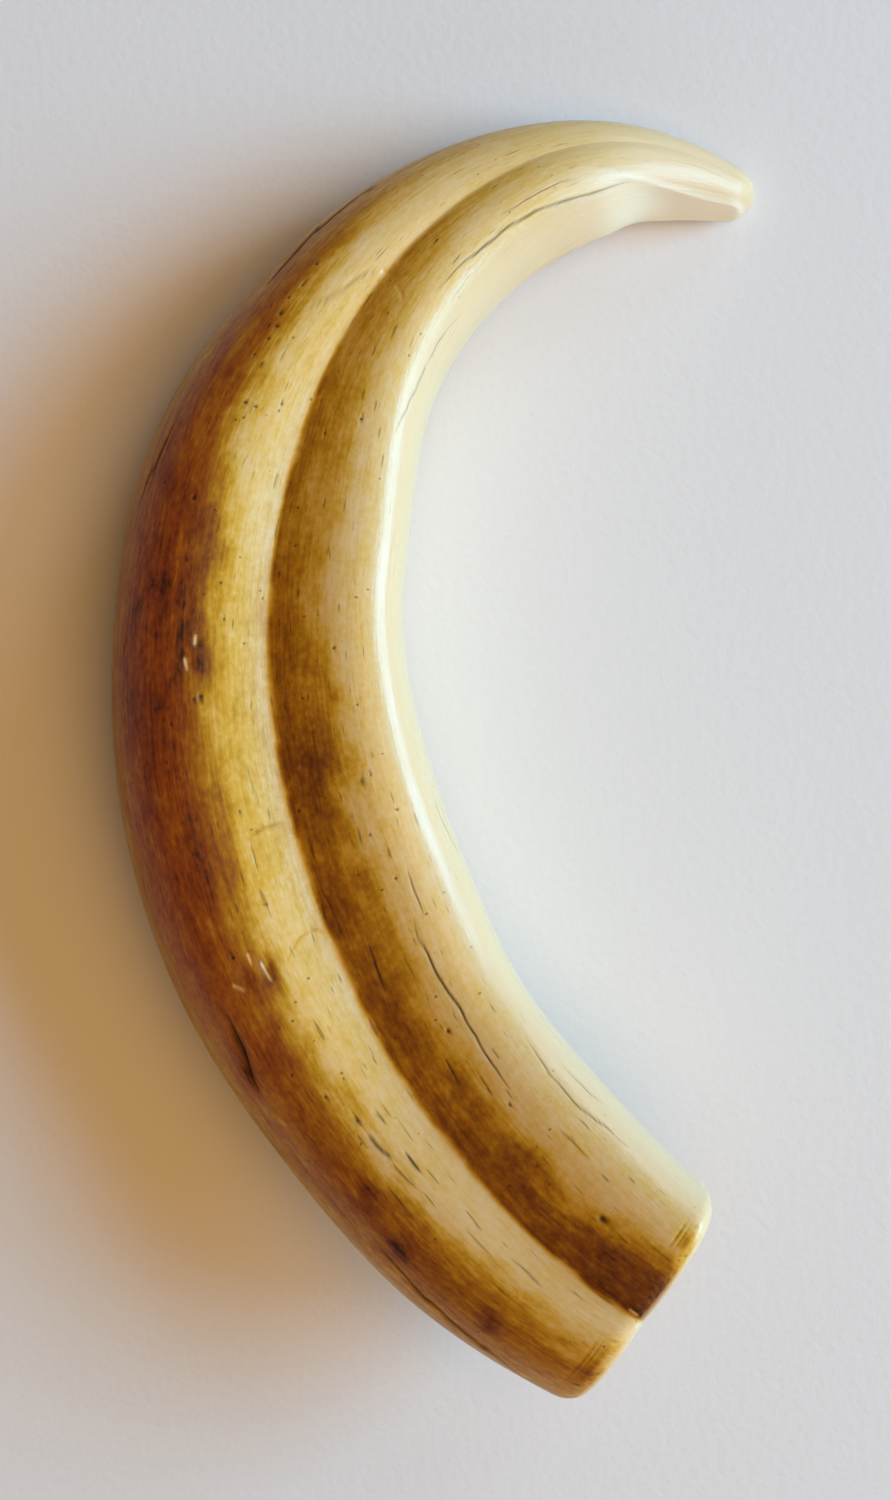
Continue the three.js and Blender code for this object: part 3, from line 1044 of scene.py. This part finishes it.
def add_noises(tree, grain):
    """The noises of the ivory, each stretched along the tusk."""
    noises = {}
    for name, (size, stretch, detail, _) in NOISES.items():
        per_metre = 1 / (size * MM)
        scales = (per_metre, per_metre / stretch, per_metre)
        place = add_node(tree, "ShaderNodeVectorMath", {0: grain, 1: scales}, operation="MULTIPLY")
        texture = {"Vector": place.outputs[0], "Scale": 1.0, "Detail": detail, "Roughness": 0.55}
        noises[name] = add_node(tree, "ShaderNodeTexNoise", texture).outputs["Fac"]
    return noises


def add_specks(tree, grain):
    """A share that is high in small dark specks, and in thin dashes where fibres have opened."""
    specks = add_node(tree, "ShaderNodeTexVoronoi", {"Vector": grain, "Scale": 1 / (SPECK_MM * MM)})
    speck_range = {"Value": specks.outputs["Distance"], "From Min": 0.05, "From Max": 0.09}
    speck = add_node(tree, "ShaderNodeMapRange", {**speck_range, "To Min": 0.6, "To Max": 0.0})
    per_metre = 1 / (DASH_WIDTH_MM * MM)
    scales = (per_metre, per_metre / DASH_STRETCH, per_metre)
    place = add_node(tree, "ShaderNodeVectorMath", {0: grain, 1: scales}, operation="MULTIPLY")
    dashes = add_node(tree, "ShaderNodeTexNoise", {"Vector": place.outputs[0], "Scale": 1.0, "Detail": 0.0})
    dash_range = {"Value": dashes.outputs["Fac"], "From Min": 0.75, "From Max": 0.83, "To Max": 0.5}
    dash = add_node(tree, "ShaderNodeMapRange", dash_range)
    both = {0: speck.outputs["Result"], 1: dash.outputs["Result"]}
    return add_node(tree, "ShaderNodeMath", both, operation="MAXIMUM").outputs[0]


def add_stain(tree, noises):
    """The patina, clouded by all noises the more the darker it is, as a share of the darkest."""
    patina = add_node(tree, "ShaderNodeAttribute", attribute_name="patina").outputs["Fac"]
    clouding = {0: patina, 1: STAINED_CLOUDING, 2: PLAIN_CLOUDING}
    clouding = add_node(tree, "ShaderNodeMath", clouding, operation="MULTIPLY_ADD").outputs[0]
    stain = patina
    for name, (_, _, _, amount) in NOISES.items():
        centred = {0: noises[name], 1: amount, 2: -amount / 2}
        part = add_node(tree, "ShaderNodeMath", centred, operation="MULTIPLY_ADD").outputs[0]
        clouded = {0: part, 1: clouding, 2: stain}
        stain = add_node(tree, "ShaderNodeMath", clouded, operation="MULTIPLY_ADD").outputs[0]
    scaled = {0: stain, 1: 1 / DARKEST}
    return add_node(tree, "ShaderNodeMath", scaled, operation="MULTIPLY").outputs[0]


def ivory_colour(tree, grain, noises):
    """The stain's colours, with the redder flank, specks, rubbed edges, painted light on the facet, the
    cavity with its painted shade, chips and painted highlights, and dirt over them.
    """
    stain = add_stain(tree, noises)
    stained = []
    for colours in (FURROW_COLOURS, FLANK_COLOURS):
        ramp = add_node(tree, "ShaderNodeValToRGB", {"Fac": stain})
        elements = ramp.color_ramp.elements
        first, *between, last = colours.items()
        elements[0].color = linear(first[1])
        elements[1].color = linear(last[1])
        for place, hex_colour in between:
            elements.new(place / DARKEST).color = linear(hex_colour)
        stained.append(ramp.outputs["Color"])
    colour, flank_colour = stained
    shares = {"reddish": flank_colour, "speck": linear(SPECK_COLOUR)}
    shares.update({name: linear(hex_colour) for name, hex_colour in LAYERS.items()})
    for name, over in shares.items():
        if name == "speck":
            amount = add_specks(tree, grain)
        else:
            amount = add_node(tree, "ShaderNodeAttribute", attribute_name=name).outputs["Fac"]
        sockets = {"Factor": amount, 6: colour, 7: over}
        mix = add_node(tree, "ShaderNodeMix", sockets, data_type="RGBA", clamp_factor=True)
        colour = mix.outputs[2]
    return colour


# %% Ivory
POLISH = 0.15
STREAK_DULLNESS = 0.28
DULLNESS = {
    # attribute: how much duller it makes the polish
    "patina": 0.2,
    "dirt": 0.35,
    "cavity": 0.35,
}
RELIEF_MM = 0.035


def make_ivory():
    material, tree = new_material("polished_old_ivory")
    grain = add_node(tree, "ShaderNodeAttribute", attribute_name="grain").outputs["Vector"]
    noises = add_noises(tree, grain)
    colour = ivory_colour(tree, grain, noises)
    streaky = {0: noises["streaks"], 1: STREAK_DULLNESS, 2: POLISH}
    roughness = add_node(tree, "ShaderNodeMath", streaky, operation="MULTIPLY_ADD").outputs[0]
    for name, dullness in DULLNESS.items():
        amount = add_node(tree, "ShaderNodeAttribute", attribute_name=name).outputs["Fac"]
        duller = {0: amount, 1: dullness, 2: roughness}
        roughness = add_node(tree, "ShaderNodeMath", duller, operation="MULTIPLY_ADD").outputs[0]
    rough = add_node(tree, "ShaderNodeMath", {0: noises["fibres"], 1: noises["grit"]}, operation="ADD")
    relief = {"Height": rough.outputs[0], "Strength": 1.0, "Distance": RELIEF_MM * MM}
    bump = add_node(tree, "ShaderNodeBump", relief)
    ivory = {
        "Base Color": colour,
        "Roughness": roughness,
        "IOR": 1.54,
        "Specular IOR Level": 0.45,
        "Subsurface Weight": 0.25,
        "Subsurface Radius": (2.6, 1.2, 0.45),
        "Subsurface Scale": MM,
        "Normal": bump.outputs["Normal"],
    }
    shader = add_node(tree, "ShaderNodeBsdfPrincipled", ivory)
    add_node(tree, "ShaderNodeOutputMaterial", {"Surface": shader.outputs[0]})
    return material


tusk.data.materials.append(make_ivory())
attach(tusk, "root")
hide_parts(CAD_NODE)
print("the tusk is dressed in", tusk.data.materials[0].name)

# %% [markdown]
# The surface below is plain pale paper. A large cool window stands low on the right, so the
# outer lobe's shade falls in the furrow's lee and on the paper. A smaller window beside it
# carries the highlight on to the root, and a pale wall below the picture gives back a little
# light on the tip's underside. Warm lamps high up fill the shade, which makes it
# brown on the paper, and a weak light comes from all round. Such paper is matt all over, and
# its pressed felt breaks the light softly. The felt of a real sheet is finer than half a
# millimetre, so it is drawn coarser, 1.6 mm, to show.

# %% Floor and lights
FLOOR_SIZE = 6.0
FLOOR_COLOUR = "#E7E7E7"
PAPER_GRAIN_MM = 1.6
PAPER_RELIEF_MM = 0.06
LIGHTS = {
    # name: (azimuth, elevation, distance, width, height, radiance)
    "window": (5.5, 24, 3.0, 2.0, 1.75, (4.4, 9.35, 13.9)),
    "window_beside": (54, 20, 3.0, 0.8, 1.0, (3.6, 4.3, 5.2)),
    "lamps_above": (-28, 70, 2.0, 1.7, 1.7, (2.5, 1.3, 0.33)),
    "pale_wall": (-82, 30, 3.0, 2.0, 1.5, (1.0, 0.85, 0.7)),
}
FILL_COLOUR = (0.055, 0.046, 0.034, 1.0)


def make_floor():
    bm = bmesh.new()
    bmesh.ops.create_grid(bm, x_segments=1, y_segments=1, size=FLOOR_SIZE / 2)
    mesh = bpy.data.meshes.new("floor")
    bm.to_mesh(mesh)
    bm.free()
    floor = bpy.data.objects.new("floor", mesh)
    bpy.context.scene.collection.objects.link(floor)
    material, tree = new_material("pale_paper")
    place = add_node(tree, "ShaderNodeTexCoord").outputs["Object"]
    pattern = {"Vector": place, "Scale": 1 / (PAPER_GRAIN_MM * MM), "Detail": 3}
    felt = add_node(tree, "ShaderNodeTexNoise", pattern)
    relief = {"Height": felt.outputs["Fac"], "Strength": 1.0, "Distance": PAPER_RELIEF_MM * MM}
    bump = add_node(tree, "ShaderNodeBump", relief)
    paper = {"Base Color": linear(FLOOR_COLOUR), "Roughness": 0.9, "Specular IOR Level": 0.1}
    shader = add_node(tree, "ShaderNodeBsdfPrincipled", {**paper, "Normal": bump.outputs["Normal"]})
    add_node(tree, "ShaderNodeOutputMaterial", {"Surface": shader.outputs[0]})
    mesh.materials.append(material)


def make_light(name, azimuth, elevation, distance, width, height, radiance):
    """A rectangle of light that faces the tusk. Its power follows from its radiance and size."""
    data = bpy.data.lights.new(name, "AREA")
    data.shape = "RECTANGLE"
    data.size = width
    data.size_y = height
    brightest = max(radiance)
    data.energy = math.pi * width * height * brightest
    data.color = [part / brightest for part in radiance]
    light = bpy.data.objects.new(name, data)
    azimuth = math.radians(azimuth)
    elevation = math.radians(elevation)
    level = math.cos(elevation)
    towards = Vector((level * math.cos(azimuth), level * math.sin(azimuth), math.sin(elevation)))
    light.location = towards * distance
    light.rotation_mode = "QUATERNION"
    light.rotation_quaternion = (-towards).to_track_quat("-Z", "Y")
    bpy.context.scene.collection.objects.link(light)


def make_fill():
    world = bpy.data.worlds.new("room")
    world.use_nodes = True
    background = world.node_tree.nodes["Background"]
    background.inputs["Color"].default_value = FILL_COLOUR
    bpy.context.scene.world = world


make_floor()
for name, values in LIGHTS.items():
    make_light(name, *values)
make_fill()
bpy.context.scene.view_settings.view_transform = "Standard"
print(len(LIGHTS), "lights and a weak fill")
